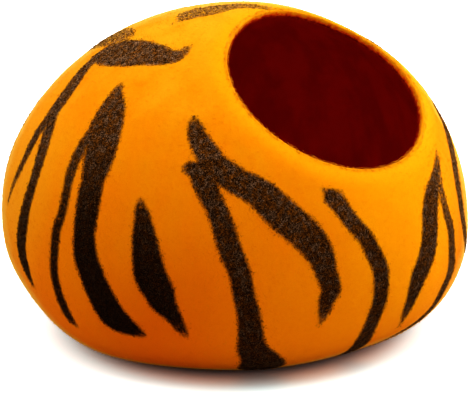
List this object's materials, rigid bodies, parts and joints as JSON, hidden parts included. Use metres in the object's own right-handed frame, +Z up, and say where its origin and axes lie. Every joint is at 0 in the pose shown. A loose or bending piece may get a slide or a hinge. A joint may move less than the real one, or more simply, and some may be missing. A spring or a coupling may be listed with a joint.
{
  "type": "felt cat cave",
  "caption": "Hollow round bed of thick wool felt with a flat base and a wide oval mouth high on one side, striped like a tiger, for a cat to sleep in.",
  "frame": {"origin": "the middle of the flat base, on the surface that it stands on", "axes": "+Z up, -Y towards the side with the mouth, +X to the right of someone who faces the mouth"},
  "size_m": [0.4833, 0.4792, 0.3197],
  "materials": {
    "orange_felt": "matt wet-felted wool, slightly fuzzy, orange",
    "black_wool": "coarse curly black-brown wool felted into the face as stripes",
    "red_felt": "matt dark red felt, the inner face"
  },
  "bodies": {
    "root": {"felt_shell": "orange_felt"}
  },
  "joints": []
}
